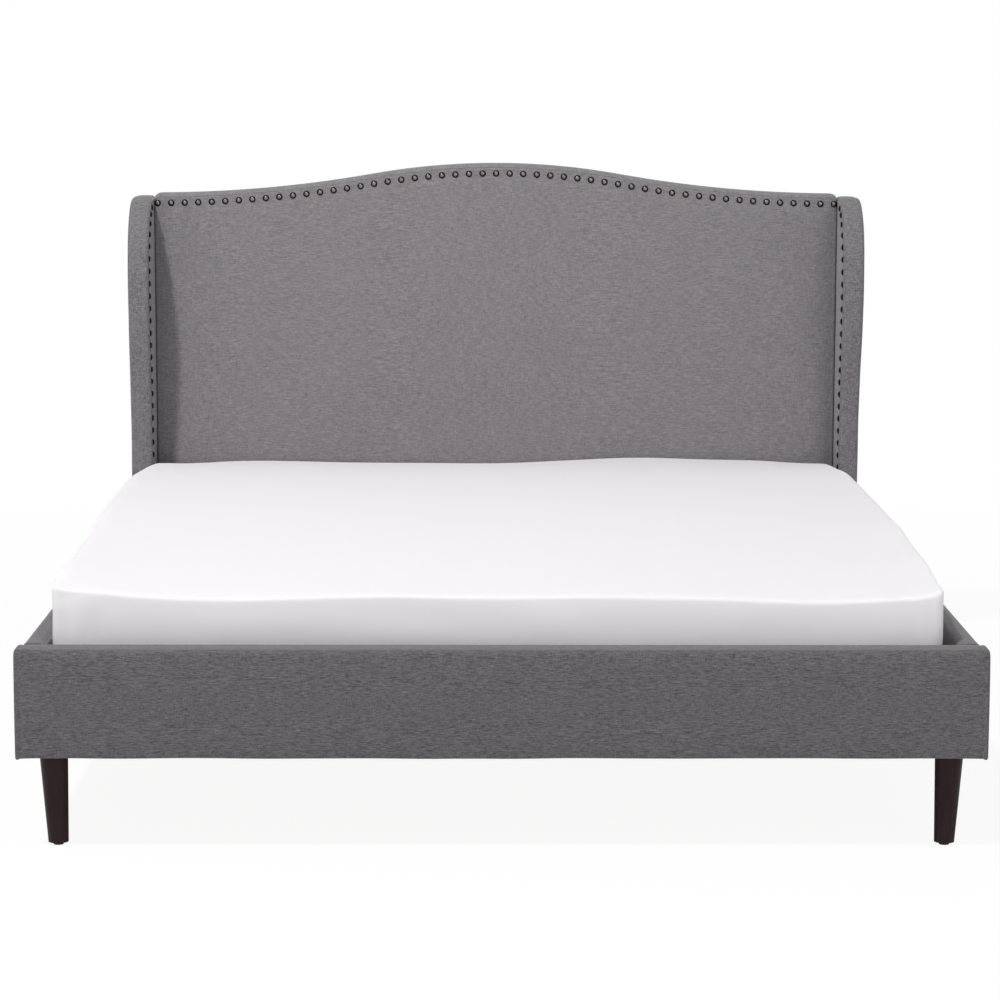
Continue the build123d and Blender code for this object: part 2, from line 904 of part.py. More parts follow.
def outward_bolt(y, length, seat_x):
    """A bolt outwards through a bracket or a plate, at one place along the bed."""
    start = (inner_half - bracket_thickness, y, bracket_middle)
    return start, (1, 0, 0), length, (seat_x, y, bracket_middle)


def foot_bolt():
    """The bolt from the corner bracket forwards into the footboard's core."""
    x = inner_half - bracket_arm + bracket_bolt_margin
    start = (x, foot_rear + bracket_thickness, bracket_middle)
    return start, (0, -1, 0), rail_bolt_length, (x, foot_core_rear, bracket_middle)


def stile_bolt(share):
    """A bolt from the headboard's stile into the wing's board, at a share of the wing's height."""
    y = timber_front + headboard_timber / 2
    z = leg_space + share * (wing_top - leg_space)
    return (stile_inner, y, z), (1, 0, 0), stile_bolt_length, (wing_board_low, y, z)


def bolt_holes(runs):
    """The clearance hole that each bolt needs in all that it passes."""
    return [
        rod(start, direction, bolt_radius + bolt_clearance, length + bolt_clearance)
        for start, direction, length, seat in runs
    ]


def insert_holes(runs):
    """The seat of each bolt's insert in its timber."""
    return [
        rod(seat, direction, bolt_radius + insert_wall, insert_length)
        for start, direction, length, seat in runs
    ]


bracket_bolt_y = foot_rear + bracket_arm - bracket_bolt_margin
plate_bolt_reach = joining_plate_length / 2 - bracket_bolt_margin
bracket_rail_bolts = [outward_bolt(bracket_bolt_y, rail_bolt_length, rail_seat_x)]
plate_rail_bolts = [outward_bolt(wing_front - plate_bolt_reach, rail_bolt_length, rail_seat_x)]
plate_wing_bolts = [outward_bolt(wing_front + plate_bolt_reach, wing_plate_bolt_length, wing_board_low)]
bracket_foot_bolts = [foot_bolt()]
stile_wing_bolts = [stile_bolt(share) for share in wing_bolt_heights_shares]
rail_bolts = bracket_rail_bolts + plate_rail_bolts
wing_bolts = plate_wing_bolts + stile_wing_bolts
right_bolts = rail_bolts + bracket_foot_bolts + wing_bolts


# Everything is made for the right side, holed, and mirrored to the left
rail_holes = bolt_holes(rail_bolts)
plate_holes = bolt_holes(plate_rail_bolts + plate_wing_bolts)
bracket_holes = bolt_holes(bracket_rail_bolts + bracket_foot_bolts)
wing_holes = bolt_holes(wing_bolts)
foot_holes = both_sides(bolt_holes(bracket_foot_bolts))
stile_holes = bolt_holes(stile_wing_bolts)
rail_seats = insert_holes(rail_bolts)
foot_seats = both_sides(insert_holes(bracket_foot_bolts))
wing_seats = insert_holes(wing_bolts)
front_bolt_holes = both_sides([leg_bolt(bolt_x, front_leg_y, leg_space, bolt_clearance)])
rear_bolt_holes = both_sides([leg_bolt(bolt_x, rear_leg_y, leg_space, bolt_clearance)])
centre_bolt_holes = [leg_bolt(0, y, beam_bottom, bolt_clearance) for y in centre_leg_ys]

# Mattress
save(mattress_form(0), "mattress")
save(fitted_sheet(), "fitted_sheet")

# Side rails
core_box = rail_core_box()
save_pair(cut_all(mirrored(block(*core_box)), rail_holes + rail_seats), "rail_core")
save_pair(cut_all(mirrored(rail_foam(core_box)), rail_holes), "rail_foam")
save_pair(cut_all(mirrored(rail_cover()), rail_holes), "rail_cover")

# Footboard
foot_box = foot_core_box()
save(cut_all(block(*foot_box), foot_holes + foot_seats + front_bolt_holes), "footboard_core")
save(cut_all(foot_foam(foot_box), foot_holes), "footboard_foam")
save(cut_all(foot_cover(), foot_holes + front_bolt_holes), "footboard_cover")

# Headboard
bottom_z = (leg_space, leg_space + bottom_rail_height)
stile_x = (stile_inner, stile_inner + stile_width)
right_stile = timber_piece(stile_x, (leg_space, headboard_height))
mid_stile_x = (-mid_stile_width / 2, mid_stile_width / 2)
mid_stile = timber_piece(mid_stile_x, (bottom_z[1], headboard_height))
save_pair(cut_all(right_stile, stile_holes + rear_bolt_holes), "headboard_stile")
save(top_rail(stile_inner), "headboard_top_rail")
save(timber_piece((-stile_inner, stile_inner), bottom_z), "headboard_bottom_rail")
save(mid_stile - top_rail(stile_inner), "headboard_mid_stile")
save(face_board(), "headboard_face_board")
save(panel_foam(), "headboard_foam")
save(cut_all(panel_cover(), both_sides(stile_holes)), "headboard_cover")
save(back_cloth(), "headboard_back_cloth")
save(panel_nails(), "headboard_nails")

# Wings
save_pair(cut_all(wing_board(), wing_holes + wing_seats), "wing_board")
save_pair(cut_all(wing_padding(), wing_holes), "wing_foam")
save_pair(cut_all(wing_cover(), wing_holes), "wing_cover")
save_pair(wing_nails(), "wing_nails")

# Slats and supports
save_pair(group(slat_row()), "slats")
save_pair(group(side_holders()), "slat_holders")
save_pair(cut_all(ledge(), ledge_screw_holes()), "slat_ledge")
save(group(centre_holders()), "centre_slat_holders")
save(group(both_sides(ledge_screws())), "ledge_screws")
save(cut_all(centre_beam(), centre_bolt_holes), "centre_beam")
foot_saddle = cut_all(beam_bracket(foot_rear, 1), saddle_holes(foot_rear, 1))
head_saddle = cut_all(beam_bracket(saddle_rear, -1), saddle_holes(saddle_rear, -1))
save(group([foot_saddle, head_saddle]), "beam_brackets")
foot_bite = cover_thickness + inner_foam + screw_bite
head_bite = timber_front - saddle_rear + screw_bite
foot_saddle_screws = saddle_screws(foot_rear, 1, foot_bite)
save(group(foot_saddle_screws + saddle_screws(saddle_rear, -1, head_bite)), "bracket_screws")

# Legs
front_leg = leg(leg_bottom_x, front_leg_y)
rear_leg = leg(leg_bottom_x, rear_leg_y)
save(front_leg, "front_right_leg")
save(mirrored(front_leg), "front_left_leg")
save(rear_leg, "rear_right_leg")
save(mirrored(rear_leg), "rear_left_leg")
save(centre_leg(centre_leg_ys[0]), "centre_front_leg")
save(centre_leg(centre_leg_ys[1]), "centre_rear_leg")
corner_glides = both_sides([glide(leg_bottom_x, y) for y in (front_leg_y, rear_leg_y)])
centre_glides = [glide(0, y) for y in centre_leg_ys]
save(group(corner_glides + centre_glides), "leg_glides")
corner_plates = [leg_plate(bolt_x, y, plate_side, leg_space) for y in (front_leg_y, rear_leg_y)]
centre_plates = [leg_plate(0, y, centre_plate_side, beam_bottom) for y in centre_leg_ys]
save(group(both_sides(corner_plates) + centre_plates), "leg_plates")
corner_bolts = [leg_bolt(bolt_x, y, leg_space) for y in (front_leg_y, rear_leg_y)]
centre_bolts = [leg_bolt(0, y, beam_bottom) for y in centre_leg_ys]
save(group(both_sides(corner_bolts) + centre_bolts), "leg_bolts")

# Brackets, bolts and inserts
save(group(both_sides([cut_all(corner_bracket(), bracket_holes)])), "corner_brackets")
save(group(both_sides([cut_all(joining_plate(), plate_holes)])), "rail_joining_plates")
frame_bolts = [head_bolt(start, direction, length) for start, direction, length, seat in right_bolts]
inserts = [insert(seat, direction) for start, direction, length, seat in right_bolts]
save(group(both_sides(frame_bolts)), "frame_bolts")
save(group(both_sides(inserts)), "threaded_inserts")
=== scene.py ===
import math

import bmesh
import bpy
from mathutils import Matrix, Vector, noise


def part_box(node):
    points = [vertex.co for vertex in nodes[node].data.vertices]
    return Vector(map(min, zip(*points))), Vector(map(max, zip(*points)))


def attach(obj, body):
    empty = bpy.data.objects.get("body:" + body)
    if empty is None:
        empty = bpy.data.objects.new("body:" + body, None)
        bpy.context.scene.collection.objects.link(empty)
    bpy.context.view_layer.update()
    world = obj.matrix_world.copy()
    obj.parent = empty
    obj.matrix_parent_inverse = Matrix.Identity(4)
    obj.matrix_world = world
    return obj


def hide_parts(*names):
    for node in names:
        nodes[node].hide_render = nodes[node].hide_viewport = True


# An upholstered wingback bed in metres. X runs across the bed, +Y to the headboard, +Z up.
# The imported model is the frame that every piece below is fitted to.
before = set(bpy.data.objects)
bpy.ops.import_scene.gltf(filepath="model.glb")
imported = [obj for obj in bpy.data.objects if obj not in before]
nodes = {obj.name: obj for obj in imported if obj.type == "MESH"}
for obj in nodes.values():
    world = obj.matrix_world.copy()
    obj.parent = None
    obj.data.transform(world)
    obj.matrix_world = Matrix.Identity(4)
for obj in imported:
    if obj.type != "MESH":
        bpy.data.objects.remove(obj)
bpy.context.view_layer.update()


# Camera
# A long lens beyond the foot of the bed, a little above the headboard and turned slightly right.
camera_place = Vector((-0.0460, -6.6112, 1.3923))
turn_right = math.radians(0.4265)
tilt_down = math.radians(7.80)
roll = math.radians(0.11)
ahead = Vector((
    math.sin(turn_right) * math.cos(tilt_down),
    math.cos(turn_right) * math.cos(tilt_down),
    -math.sin(tilt_down),
))
level = Vector((math.cos(turn_right), -math.sin(turn_right), 0))
above = level.cross(ahead)
camera_right = level * math.cos(roll) + above * math.sin(roll)
camera_up = above * math.cos(roll) - level * math.sin(roll)
camera_data = bpy.data.cameras.new("camera")
camera_data.sensor_width = 36
camera_data.lens = 114.12
camera_data.clip_end = 200
camera = bpy.data.objects.new("camera", camera_data)
camera_turn = Matrix((camera_right, camera_up, -ahead)).transposed().to_4x4()
camera.matrix_world = Matrix.Translation(camera_place) @ camera_turn
scene = bpy.context.scene
scene.collection.objects.link(camera)
scene.camera = camera
scene.view_settings.view_transform = "Standard"


# Studio
# A white floor that runs out to a white surround. One lamp hangs high on the left, beyond the foot of
# the bed, a large soft one stands in front on the right, and the rest of the light is even.
class Wire:
    """A socket in a material's nodes. Sums written with wires add Math nodes to that material."""

    def __init__(self, tree, socket):
        self.tree = tree
        self.socket = socket

    def node(self, kind, settings, feeds, output=0):
        """Adds a node, sets it up, feeds its inputs and gives one of its outputs."""
        made = self.tree.nodes.new("ShaderNode" + kind)
        for name, value in settings.items():
            if name == "stops":
                ramp = made.color_ramp.elements
                while len(ramp) < len(value):
                    ramp.new(1.0)
                for stop, (position, colour) in zip(ramp, value):
                    stop.position = position
                    stop.color = colour
            else:
                setattr(made, name, value)
        for name, value in feeds.items():
            if isinstance(value, Wire):
                self.tree.links.new(value.socket, made.inputs[name])
            else:
                made.inputs[name].default_value = value
        return Wire(self.tree, made.outputs[output])

    def maths(self, operation, first, second, clamp=False):
        return self.node("Math", {"operation": operation, "use_clamp": clamp}, {0: first, 1: second})

    def __add__(self, other):
        return self.maths("ADD", self, other)

    def __sub__(self, other):
        return self.maths("SUBTRACT", self, other)

    def __rsub__(self, other):
        return self.maths("SUBTRACT", other, self)

    def __mul__(self, other):
        return self.maths("MULTIPLY", self, other)

    def clamped(self):
        return self.maths("ADD", self, 0.0, clamp=True)

    def into(self, shader, name):
        """Feeds one input of a shader."""
        self.tree.links.new(self.socket, shader.inputs[name])


surround = bpy.data.worlds.new("surround")
scene.world = surround
surround.use_nodes = True
surround_tree = surround.node_tree
surround_light = surround_tree.nodes["Background"]
surround_light.inputs["Color"].default_value = (1, 1, 1, 1)
even_light = 0.42
ray = surround_tree.nodes.new("ShaderNodeLightPath")
seen = Wire(surround_tree, ray.outputs["Is Camera Ray"])
mirrored = Wire(surround_tree, ray.outputs["Is Glossy Ray"])
through = Wire(surround_tree, ray.outputs["Is Transmission Ray"])
white_seen = (seen + mirrored + through).clamped()
(white_seen * (1 - even_light) + even_light).into(surround_light, "Strength")

floor_half = 60
floor_mesh = bpy.data.meshes.new("studio_floor")
floor_corners = [(x * floor_half, y * floor_half, 0) for x, y in ((-1, -1), (1, -1), (1, 1), (-1, 1))]
floor_mesh.from_pydata(floor_corners, [], [(0, 1, 2, 3)])
studio_floor = bpy.data.objects.new("studio_floor", floor_mesh)
scene.collection.objects.link(studio_floor)
floor_paint = bpy.data.materials.new("studio_floor_paint")
floor_paint.use_nodes = True
floor_tree = floor_paint.node_tree
floor_tree.nodes.remove(floor_tree.nodes["Principled BSDF"])
floor_ray = floor_tree.nodes.new("ShaderNodeLightPath")
floor_seen = Wire(floor_tree, floor_ray.outputs["Is Camera Ray"])
floor_place = Wire(floor_tree, floor_tree.nodes.new("ShaderNodeTexCoord").outputs["Object"])
from_bed = floor_place.node("VectorMath", {"operation": "LENGTH"}, {0: floor_place}, output=1)
shadow_whole = 1.5
shadow_gone = 4.0
fade = shadow_gone - shadow_whole
near_bed = (shadow_gone / fade - from_bed * (1 / fade)).clamped()
floor_white = 0.93
matt = floor_seen.node("BsdfDiffuse", {}, {"Color": (floor_white, floor_white, floor_white, 1)})
glow = floor_seen.node("Emission", {}, {"Color": (1, 1, 1, 1), "Strength": 1.0})
matt_share = 0.08
glow_share = floor_seen * (1 - near_bed * matt_share)
floor_mix = floor_seen.node("MixShader", {}, {0: glow_share, 1: matt, 2: glow})
floor_tree.links.new(floor_mix.socket, floor_tree.nodes["Material Output"].inputs["Surface"])
floor_mesh.materials.append(floor_paint)


def hang_lamp(name, size, energy, place, aim):
    """A round soft lamp hung at a place and aimed at a point."""
    lamp_data = bpy.data.lights.new(name, "AREA")
    lamp_data.shape = "DISK"
    lamp_data.size = size
    lamp_data.energy = energy
    lamp = bpy.data.objects.new(name, lamp_data)
    lamp.location = place
    lamp.rotation_mode = "QUATERNION"
    lamp.rotation_quaternion = (aim - place).to_track_quat("-Z", "Y")
    scene.collection.objects.link(lamp)


hang_lamp("key_lamp", size=0.55, energy=450, place=Vector((-2.50, -3.21, 7.54)), aim=Vector((0, 0.2, 0.6)))
hang_lamp("front_lamp", size=3.0, energy=72, place=Vector((3.2, -6.6, 2.4)), aim=Vector((0.4, 0, 0.6)))


# Footboard
# A timber board in thin foam, wrapped in a grey melange fabric of linen look. The fabric is pulled
# taut over the top and sewn down both ends, and its hem is turned under and stapled.
def new_material(name, roughness):
    """A material with its shader and the row frame's coordinates."""
    material = bpy.data.materials.new(name)
    material.use_nodes = True
    tree = material.node_tree
    shader = tree.nodes["Principled BSDF"]
    shader.inputs["Roughness"].default_value = roughness
    place = Wire(tree, tree.nodes.new("ShaderNodeTexCoord").outputs["Object"])
    return material, shader, place


def streaks(place, size, detail):
    """Noise whose grains have a size along each axis, in metres."""
    scale = tuple(1 / s for s in size)
    stretched = place.node("VectorMath", {"operation": "MULTIPLY"}, {0: place, 1: scale})
    return place.node("TexNoise", {}, {"Vector": stretched, "Scale": 1.0, "Detail": detail, "Roughness": 0.6})


def lengthwise(axis, length, width):
    """The size of a grain that has one length along an axis and one width across it."""
    size = [width, width, width]
    size[axis] = length
    return size


def blend_colours(share, first, second):
    """A colour between two others."""
    return share.node("Mix", {"data_type": "RGBA"}, {0: share, 6: first, 7: second}, output=2)


def emboss(shader, height, strength, depth):
    """Gives a shader the fine relief of a height."""
    bump = height.node("Bump", {}, {"Strength": strength, "Distance": depth, "Height": height})
    bump.into(shader, "Normal")


def melange_fabric(name, thread, grain, contrast, tone, cross_share):
    """Woven melange: slubs along one axis, thinner threads between them and a faint cross thread."""
    material, shader, place = new_material(name, 0.92)
    slubs = streaks(place, lengthwise(thread, length=0.015 * grain, width=0.0017 * grain), detail=2.0)
    threads = streaks(place, lengthwise(thread, length=0.009 * grain, width=0.0010 * grain), detail=1.0)
    weft = streaks(place, lengthwise(thread, length=0.0014 * grain, width=0.008 * grain), detail=1.0)
    cloud = streaks(place, (0.12, 0.12, 0.12), detail=1.0)
    middle = 0.5
    slub_share = 1.5
    thread_share = 1.6
    cloud_share = 0.10
    tones = (slubs - middle) * slub_share + (threads - middle) * thread_share
    tones = tones + (weft - middle) * cross_share + (cloud - middle) * cloud_share
    share = (tones * contrast + middle).clamped()
    darkest = 0.30
    lightest = 2 - darkest
    dark_green = 0.95
    light_green = 0.955
    dark = (tone * darkest, tone * darkest * dark_green, tone * darkest, 1)
    light = (tone * lightest, tone * lightest * light_green, tone * lightest, 1)
    blend_colours(share, dark, light).into(shader, "Base Color")
    slub_rise = 0.6
    thread_rise = 0.7
    weft_rise = 0.4
    height = slubs * slub_rise + threads * thread_rise + weft * weft_rise
    emboss(shader, height, strength=0.45, depth=0.0006)
    shader.inputs["Specular IOR Level"].default_value = 0.15
    shader.inputs["Sheen Weight"].default_value = 0.35
    shader.inputs["Sheen Roughness"].default_value = 0.35
    return material


def spread(low, high, count):
    """Evenly spread numbers from low to high."""
    return [low + (high - low) * i / (count - 1) for i in range(count)]


def lofted(loops, lip):
    """A closed mesh through a row of like loops. A loop's first half and second half are its two sides,
    and each end is closed from side to side above the lip."""
    cage = bmesh.new()
    rings = [[cage.verts.new(point) for point in loop] for loop in loops]
    count = len(loops[0])
    for ring, following in zip(rings, rings[1:]):
        for k in range(count):
            m = (k + 1) % count
            cage.faces.new((ring[k], ring[m], following[m], following[k]))
    for ring in (rings[0], rings[-1]):
        for k in range(lip, count // 2 - 1):
            cage.faces.new((ring[k], ring[k + 1], ring[count - 2 - k], ring[count - 1 - k]))
        if lip:
            cage.faces.new((ring[0], ring[lip], ring[count - 1 - lip], ring[count - 1]))
            cage.faces.new(ring[:lip + 1])
            cage.faces.new(ring[count - 1 - lip:])
    bmesh.ops.recalc_face_normals(cage, faces=cage.faces)
    return cage


def subdivided(piece, levels):
    """Adds rounds of subdivision to a piece and applies them."""
    smooth = piece.modifiers.new("smooth", "SUBSURF")
    smooth.levels = levels
    evaluated = piece.evaluated_get(bpy.context.evaluated_depsgraph_get())
    piece.data = bpy.data.meshes.new_from_object(evaluated)
    piece.modifiers.clear()
    piece.data.name = piece.name
    piece.data.shade_smooth()


def piece_from(name, cage, material):
    """A smooth piece from a cage."""
    mesh = bpy.data.meshes.new(name)
    cage.to_mesh(mesh)
    cage.free()
    mesh.materials.append(material)
    mesh.shade_smooth()
    piece = bpy.data.objects.new(name, mesh)
    scene.collection.objects.link(piece)
    return piece


def settle_cloth(piece, held, most, pressure, frames):
    """Runs a cloth simulation with some points held, and keeps the move of every point small."""
    fixed = piece.vertex_groups.new(name="held")
    fixed.add([vertex.index for vertex in piece.data.vertices if held(vertex.co)], 1.0, "REPLACE")
    cloth = piece.modifiers.new("cloth", "CLOTH")
    cloth.settings.vertex_group_mass = fixed.name
    cloth.settings.use_pressure = True
    cloth.settings.uniform_pressure_force = pressure
    cloth.settings.effector_weights.gravity = 0
    cloth.collision_settings.use_collision = False
    run_cloth(piece, most, frames)


def run_cloth(piece, most, frames):
    """Steps a piece's cloth simulation, applies it with a soft cap on the moves and takes it off."""
    for frame_number in range(1, frames + 1):
        scene.frame_set(frame_number)
    evaluated = piece.evaluated_get(bpy.context.evaluated_depsgraph_get())
    moves = [now.co - before.co for now, before in zip(evaluated.data.vertices, piece.data.vertices)]
    normals = [vertex.normal.copy() for vertex in piece.data.vertices]
    piece.modifiers.clear()
    piece.vertex_groups.clear()
    scene.frame_set(1)
    deepest = 0.0008
    for vertex, move, normal in zip(piece.data.vertices, moves, normals):
        if move.length > 0:
            move = move * most * (1 - math.exp(-move.length / most)) / move.length
        inward = move.dot(normal)
        if inward < -deepest:
            move = move - normal * (inward + deepest)
        vertex.co += move


def board_side(thickness, height, radius, bulge, hem):
    """One side of a padded board's section, from its hem up: depth behind the fullest line, and height."""
    hem_rise = 0.006
    fold = 0.004
    fold_depth = 0.0012
    fold_rise = 0.0010
    side = [(hem, hem_rise), (hem, 0), (fold + bulge, 0), (fold_depth + bulge, fold_rise), (bulge, fold)]
    for share in spread(0, 1, 11)[1:-1]:
        place = share * (height - radius)
        side.append((bulge * (2 * place / height - 1) ** 2, place))
    for angle in spread(0, math.pi / 2, 6):
        side.append((bulge + radius * (1 - math.cos(angle)), height - radius * (1 - math.sin(angle))))
    ridge_half = 0.003
    ridge_rise = 0.0004
    side.append((thickness / 2 - ridge_half, height + ridge_rise))
    return side


def board_section(thickness, height, radius, bulge, hem, inset):
    """A padded board's whole section as depths and heights, shrunk by an inset at its ends."""
    outer = board_side(thickness, height, radius, bulge, hem)
    inner = [(thickness - depth, rise) for depth, rise in board_side(thickness, height, radius, 0, hem)]
    shrink_depth = 1 - 2 * inset / thickness
    shrink_height = 1 - 2 * inset / height
    section = []
    for depth, rise in outer + inner[::-1]:
        section.append((
            thickness / 2 + (depth - thickness / 2) * shrink_depth,
            height / 2 + (rise - height / 2) * shrink_height,
        ))
    return section


def end_steps(radius, seam=0, groove=0):
    """Where sections stand near a board's end: the distance from the end and how far each is inset."""
    steps = []
    for angle in spread(math.pi / 2, 0, 5):
        steps.append((radius * (1 - math.sin(angle)), radius * (1 - math.cos(angle))))
    if groove:
        groove_half = 0.0022
        steps += [(seam - groove_half, 0), (seam, groove), (seam + groove_half, 0)]
    return steps


def stations(low, high, steps, count):
    """Places along a board with the inset at each, closer together at both ends."""
    gap = 0.006
    inner = steps[-1][0] + gap
    middle = [(place, 0) for place in spread(low + inner, high - inner, count)]
    return (
        [(low + distance, inset) for distance, inset in steps]
        + middle
        + [(high - distance, inset) for distance, inset in steps[::-1]]
    )


# The four pieces share one fabric, but each gets its own tone. This footboard's darker tone is painted shade.
foot_fabric = melange_fabric(
    "footboard_fabric", thread=0, grain=1.0, contrast=0.66, tone=0.116, cross_share=0.9
)
foot_low, foot_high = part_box("footboard_cover")
foot_depth = foot_high.y - foot_low.y
foot_height = foot_high.z - foot_low.z
edge_radius = 0.012
board_bulge = 0.0025
hem_turn = 0.010
hem_points = 5
swell = 0.0010
foot_loops = []
for x, inset in stations(foot_low.x, foot_high.x, end_steps(radius=0.005, seam=0.0095, groove=0.0010), 64):
    section = board_section(
        foot_depth - swell, foot_height - swell, edge_radius, board_bulge, hem_turn, inset
    )
    foot_loops.append([Vector((x, foot_low.y + swell + depth, foot_low.z + rise)) for depth, rise in section])
footboard = piece_from("footboard_upholstery", lofted(foot_loops, hem_points), foot_fabric)
tip_reach = 0.020
tip_drop = 0.0042
hem_height = 0.03
wave_length = 0.13
wave_rise = 0.0012
wave_row = (0.4, 1.7)
for vertex in footboard.data.vertices:
    low_share = max(0, 1 - (vertex.co.z - foot_low.z) / hem_height)
    near_end = max(0, 1 - (foot_high.x - abs(vertex.co.x)) / tip_reach)
    wave = noise.noise(Vector((vertex.co.x / wave_length, *wave_row))) * wave_rise
    vertex.co.z += low_share * (wave - tip_drop * near_end**2)
sewn_end = 0.016
free_depth = 0.045
stapled_hem = 0.012


def foot_held(point):
    """Where the footboard's fabric is stapled, sewn or backed by the mattress."""
    ends = abs(point.x) > foot_high.x - sewn_end
    return ends or point.y > foot_low.y + free_depth or point.z < foot_low.z + stapled_hem


settle_cloth(footboard, foot_held, most=0.0016, pressure=4.0, frames=20)
subdivided(footboard, 2)
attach(footboard, "bed_frame")
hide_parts("footboard_cover", "footboard_foam")


# Side rails
# Each is a timber board in thin foam under the same fabric, which here runs along the bed. Its front
# end butts against the footboard and its rear end against the wing.
# The rails' darker tone, like the footboard's, is painted shade on the same fabric.
rail_fabric = melange_fabric(
    "rail_fabric", thread=1, grain=1.0, contrast=0.66, tone=0.128, cross_share=0.9
)
butted_end = 0.006
free_width = 0.030
for side, across in (("left", -1), ("right", 1)):
    rail_low, rail_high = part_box(side + "_rail_cover")
    rail_outer = rail_low.x if across < 0 else rail_high.x
    rail_depth = rail_high.x - rail_low.x
    rail_height = rail_high.z - rail_low.z
    rail_loops = []
    for y, inset in stations(rail_low.y, rail_high.y, end_steps(radius=0.004), 70):
        section = board_section(
            rail_depth - swell, rail_height - swell, edge_radius, board_bulge, hem_turn, inset
        )
        rail_loops.append([
            Vector((rail_outer - across * (depth + swell), y, rail_low.z + rise)) for depth, rise in section
        ])
    rail = piece_from(side + "_rail_upholstery", lofted(rail_loops, hem_points), rail_fabric)

    def rail_held(point):
        """Where the rail's fabric is stapled, or butts against the boards at its ends."""
        ends = min(point.y - rail_low.y, rail_high.y - point.y) < butted_end
        return ends or abs(point.x) < abs(rail_outer) - free_width or point.z < rail_low.z + stapled_hem

    settle_cloth(rail, rail_held, most=0.0016, pressure=4.0, frames=20)
    subdivided(rail, 2)
    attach(rail, "bed_frame")
    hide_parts(side + "_rail_cover", side + "_rail_foam")


# Headboard panel
# A timber frame and face board under foam, covered in one width of fabric with the threads level.
# Its top line rises in one arc to the middle, and a boxed strip is sewn along it above the nails.
# The panel's lighter tone is painted light on the same fabric as the footboard and rails.
panel_fabric = melange_fabric(
    "panel_fabric", thread=0, grain=1.25, contrast=0.38, tone=0.221, cross_share=1.2
)
panel_low, panel_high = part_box("headboard_cover")
inner_half = 0.820
crown_arc = 1.694
crown_centre = -0.533
shoulder_arc = 3.0115
shoulder_centre = 4.1005
arcs_meet = 0.2952
panel_crown = 0.008
panel_half = panel_high.x
crown_radius = (panel_half**2 + panel_crown**2) / (2 * panel_crown)
corner_radius = 0.015
side_radius = 0.006
timber_back = 1.0793


def camel_height(x):
    """The height of the headboard's top line at a place across the bed."""
    if abs(x) < arcs_meet:
        return crown_centre + math.sqrt(crown_arc**2 - x**2)
    return shoulder_centre - math.sqrt(shoulder_arc**2 - (inner_half - abs(x)) ** 2)


def rounded(distance, radius):
    """How far a rounded edge falls back at a distance from it."""
    reach = max(0, radius - distance)
    return radius - math.sqrt(radius**2 - reach**2)


# Each point of the seam and the boxed strip: depth behind the panel's front, and drop below its top.
strip_line = [(0, 0.030), (0, 0.018), (0, 0.0130), (0.0004, 0.0118), (0.0020, 0.0108), (0.0006, 0.0098)]
strip_line += [(0.0012, 0.0078), (0.0028, 0.0052), (0.0052, 0.0030), (0.0085, 0.0012), (0.0130, 0.0002)]
strip_line.append((0.030, -0.0004))
strip_start = 0.044
settled_depth = 0.0010
back_rounding = [(0.020, 0), (0.004, 0.0004), (0.001, 0.0016)]
low_edge = 0.004
low_round = 0.0012


def panel_loop(x):
    """The panel's section at a place across the bed, up its front and down its back."""
    from_end = panel_half - abs(x)
    front = panel_low.y + crown_radius - math.sqrt(crown_radius**2 - x**2) + rounded(from_end, side_radius)
    top = camel_height(x) - rounded(from_end, corner_radius)
    low = panel_low.z
    side = [(low_edge, low), (low_round, low + low_round), (0, low + low_edge)]
    for share in spread(0, 1, 27)[1:]:
        side.append((settled_depth if share < 1 else 0, low + share * (top - strip_start - low)))
    side += [(depth, top - drop) for depth, drop in strip_line]
    back = [(timber_back, z) for _, z in side]
    for k, (depth, drop) in enumerate(back_rounding):
        back[-1 - k] = (timber_back - depth, top - drop)
    back[0] = (timber_back - low_edge, low)
    points = [(front + depth, z) for depth, z in side] + back[::-1]
    return [Vector((x, y, z)) for y, z in points]


end_places = [0, 0.0008, 0.0028, 0.0060, 0.0100, 0.0150, 0.0220, 0.0340]
even_from = 0.055
panel_places = [-panel_half + place for place in end_places]
panel_places += spread(-panel_half + even_from, panel_half - even_from, 60)
panel_places += [panel_half - place for place in end_places[::-1]]
panel = piece_from("headboard_upholstery", lofted([panel_loop(x) for x in panel_places], 0), panel_fabric)
nailed_drop = 0.036
sewn_side = 0.010
free_front = 0.030
stapled_foot = 0.02


def panel_held(point):
    """Where the panel's fabric is nailed, sewn to the boxed strip, stapled or against the wings."""
    return (
        camel_height(point.x) - point.z < nailed_drop
        or abs(point.x) > panel_half - sewn_side
        or point.y > panel_low.y + free_front
        or point.z < panel_low.z + stapled_foot
    )


settle_cloth(panel, panel_held, most=0.0022, pressure=3.0, frames=20)
subdivided(panel, 2)
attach(panel, "bed_frame")
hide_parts("headboard_cover", "headboard_foam")


# Wings
# A plywood board with foam on both faces and round its edge. One strip of fabric with upright
# threads runs up the front and over the top, and is sewn to the cloth of both faces.
# The wings' tone lies between the footboard's and the panel's: painted light and shade on the same fabric.
wing_fabric = melange_fabric(
    "wing_fabric", thread=2, grain=1.2, contrast=0.46, tone=0.185, cross_share=2.0
)
wing_top = 1.081
wing_bottom = 0.168
wing_back = 1.0805
full_reach = 0.141
foot_reach = 0.103
nose_reach = 0.010
nose_height = 0.166
hollow_height = 0.440
full_front = panel_low.y - full_reach
foot_front = panel_low.y - foot_reach
nose_start = panel_low.y - nose_reach
full_height = wing_top - nose_height
swell_share = 0.45
bend = 2 * math.atan((foot_front - full_front) / (full_height - hollow_height))
both_arcs = (full_height - hollow_height) / math.sin(bend)
swell_arc = both_arcs * swell_share
hollow_arc = both_arcs - swell_arc
swell_centre = full_front + swell_arc
hollow_centre = foot_front - hollow_arc


